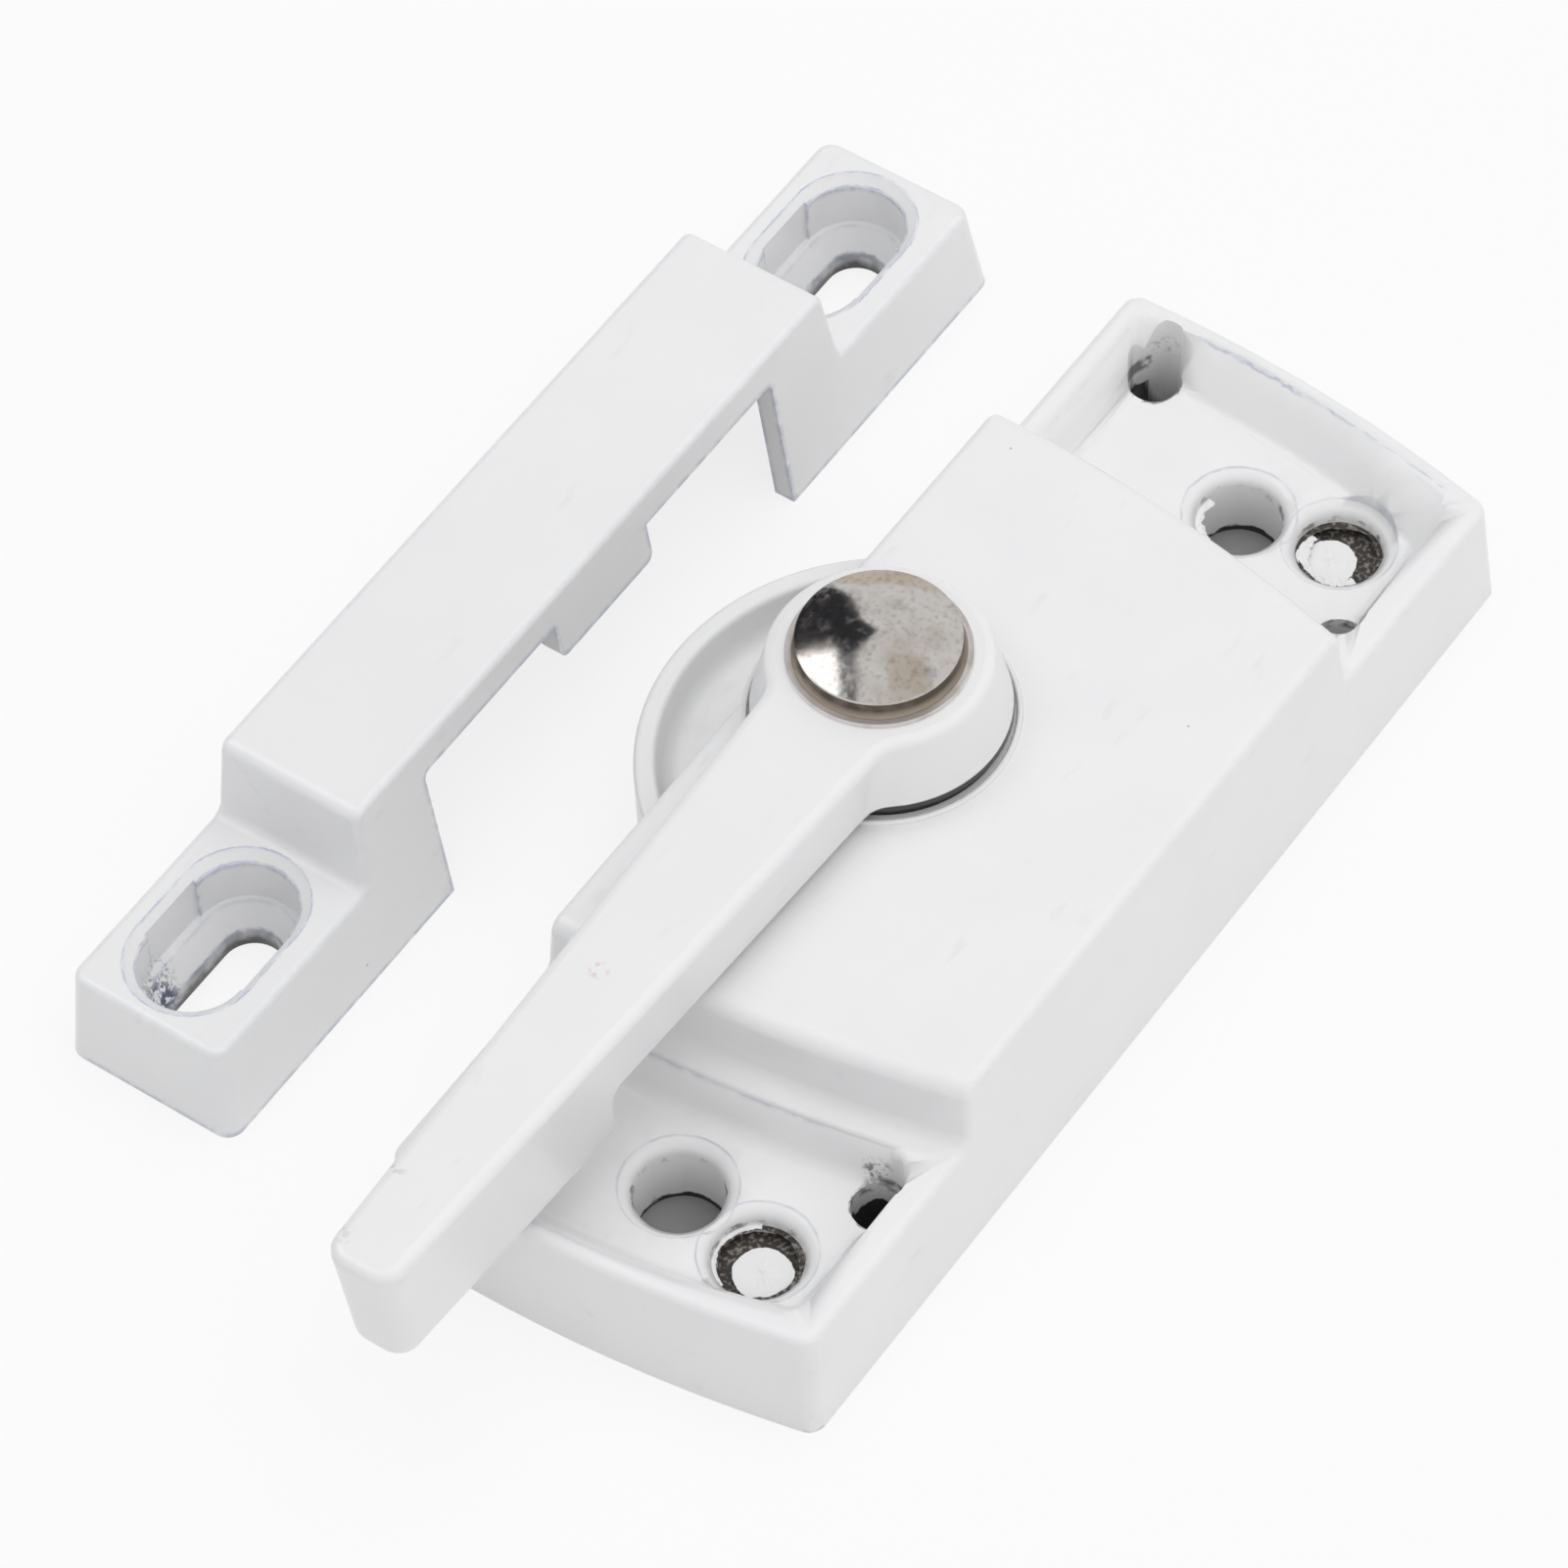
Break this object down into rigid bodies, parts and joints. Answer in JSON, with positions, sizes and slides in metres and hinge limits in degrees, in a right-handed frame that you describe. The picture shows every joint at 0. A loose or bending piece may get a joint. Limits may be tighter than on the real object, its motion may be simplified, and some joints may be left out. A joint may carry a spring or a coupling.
{
  "type": "sliding window lock",
  "caption": "White die-cast crescent lock for a sliding window, with a swinging lever, a spiral cam, screw pockets in both ends and a bridge-shaped keeper.",
  "frame": {"origin": "middle of the case's inner pair of screw holes, on the plane of its mounting face", "axes": "+Z away from the mounting face, +Y along the case, +X away from the keeper, which stands towards -X"},
  "size_m": [0.061, 0.1074, 0.0248],
  "materials": {
    "case_paint": "white powder coat, satin",
    "lever_paint": "white powder coat, satin",
    "cam_paint": "white powder coat, satin",
    "keeper_paint": "white powder coat, satin",
    "rivet_plating": "polished nickel plate, scuffed",
    "washer_plating": "turned and nickel plated",
    "ring_plastic": "black moulded plastic",
    "spring_steel": "spring steel, zinc plated",
    "tail_steel": "zinc plated steel"
  },
  "bodies": {
    "case": {"lock_case": "case_paint", "bearing_ring": "ring_plastic", "wave_washer": "spring_steel", "keeper": "keeper_paint"},
    "lever": {"lever_handle": "lever_paint", "pivot_rivet": "rivet_plating", "seat_washer": "washer_plating", "crescent_cam": "cam_paint", "tail_washer": "tail_steel"}
  },
  "joints": [
    {"name": "lever_turn", "type": "hinge", "parent": "case", "child": "lever", "pos_m": [-0.0069, 0, 0.0152], "axis": [0, 0, 1], "range_deg": [0, 180]}
  ]
}
